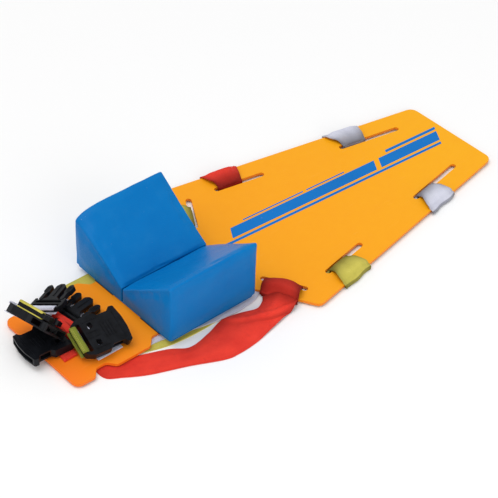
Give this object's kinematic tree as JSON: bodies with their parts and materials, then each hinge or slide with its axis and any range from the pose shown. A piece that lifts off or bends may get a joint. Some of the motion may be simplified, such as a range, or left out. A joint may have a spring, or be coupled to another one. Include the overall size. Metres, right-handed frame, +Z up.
{
  "type": "spine board",
  "caption": "Short tapered spine board with a V-shaped padded head immobiliser, colour-coded webbing straps through its edge slots and side-release buckles gathered on the head tab",
  "frame": {"origin": "on the floor, under the middle of the whole object's bounding box", "axes": "+X points to the foot end, +Y to the left side of a patient lying face up, +Z up"},
  "size_m": [1.001, 0.403, 0.1307],
  "materials": {
    "board_orange": "low-sheen moulded polyethylene",
    "vinyl_blue": "glossy vinyl cover over foam",
    "hook_black": "hook tape",
    "web_white": "woven polypropylene webbing",
    "web_yellow": "woven polypropylene webbing",
    "web_red": "woven polypropylene webbing",
    "buckle_black": "moulded acetal, fine texture"
  },
  "bodies": {
    "frame": {"board": "board_orange", "right_hook_strip": "hook_black", "left_hook_strip": "hook_black", "head_base": "vinyl_blue", "right_white_strap": "web_white", "left_white_strap": "web_white", "left_red_strap": "web_red", "right_yellow_strap": "web_yellow", "left_yellow_strap": "web_yellow", "right_red_strap": "web_red", "red_housing": "buckle_black", "red_housing_webbing": "web_red", "white_housing": "buckle_black", "white_housing_webbing": "web_white", "yellow_housing": "buckle_black", "yellow_housing_webbing": "web_yellow", "white_male": "buckle_black", "white_male_webbing": "web_white", "red_male": "buckle_black", "red_male_webbing": "web_red", "yellow_male": "buckle_black", "yellow_male_webbing": "web_yellow"},
    "left_head_slide": {"left_head_block": "vinyl_blue"},
    "red_male_left_lever": {"red_male_left_arm": "buckle_black"},
    "red_male_right_lever": {"red_male_right_arm": "buckle_black"},
    "right_head_slide": {"right_head_block": "vinyl_blue"},
    "white_male_left_lever": {"white_male_left_arm": "buckle_black"},
    "white_male_right_lever": {"white_male_right_arm": "buckle_black"},
    "yellow_male_left_lever": {"yellow_male_left_arm": "buckle_black"},
    "yellow_male_right_lever": {"yellow_male_right_arm": "buckle_black"}
  },
  "joints": [
    {"name": "right_head_block_slide", "type": "slide", "parent": "frame", "child": "right_head_slide", "axis": [0, -1, 0], "range_m": [0, 0.03]},
    {"name": "left_head_block_slide", "type": "slide", "parent": "frame", "child": "left_head_slide", "axis": [0, 1, 0], "range_m": [0, 0.03]},
    {"name": "red_male_right_release", "type": "hinge", "parent": "frame", "child": "red_male_right_lever", "pos_m": [-0.3699, 0.01585, 0.0175], "axis": [0, 0, 1], "range_deg": [0, 6], "stiffness_Nm_per_rad": 0.2},
    {"name": "red_male_left_release", "type": "hinge", "parent": "frame", "child": "red_male_left_lever", "pos_m": [-0.37589, 0.05844, 0.0175], "axis": [0, 0, -1], "range_deg": [0, 6], "stiffness_Nm_per_rad": 0.2},
    {"name": "white_male_right_release", "type": "hinge", "parent": "frame", "child": "white_male_right_lever", "pos_m": [-0.38226, 0.05663, 0.03525], "axis": [-0.1524, 0.3422, 0.9272], "range_deg": [0, 6], "stiffness_Nm_per_rad": 0.2},
    {"name": "white_male_left_release", "type": "hinge", "parent": "frame", "child": "white_male_left_lever", "pos_m": [-0.39847, 0.09305, 0.01915], "axis": [0.1524, -0.3422, -0.9272], "range_deg": [0, 6], "stiffness_Nm_per_rad": 0.2},
    {"name": "yellow_male_right_release", "type": "hinge", "parent": "frame", "child": "yellow_male_right_lever", "pos_m": [-0.44933, -0.00129, 0.07218], "axis": [0.7493, 0.1593, 0.6428], "range_deg": [0, 6], "stiffness_Nm_per_rad": 0.2},
    {"name": "yellow_male_left_release", "type": "hinge", "parent": "frame", "child": "yellow_male_left_lever", "pos_m": [-0.45827, 0.04077, 0.07218], "axis": [-0.7493, -0.1593, -0.6428], "range_deg": [0, 6], "stiffness_Nm_per_rad": 0.2}
  ],
  "couplings": [
    {"joint": "red_male_left_release", "follows": "red_male_right_release", "ratio": 1},
    {"joint": "white_male_left_release", "follows": "white_male_right_release", "ratio": 1},
    {"joint": "yellow_male_left_release", "follows": "yellow_male_right_release", "ratio": 1}
  ]
}
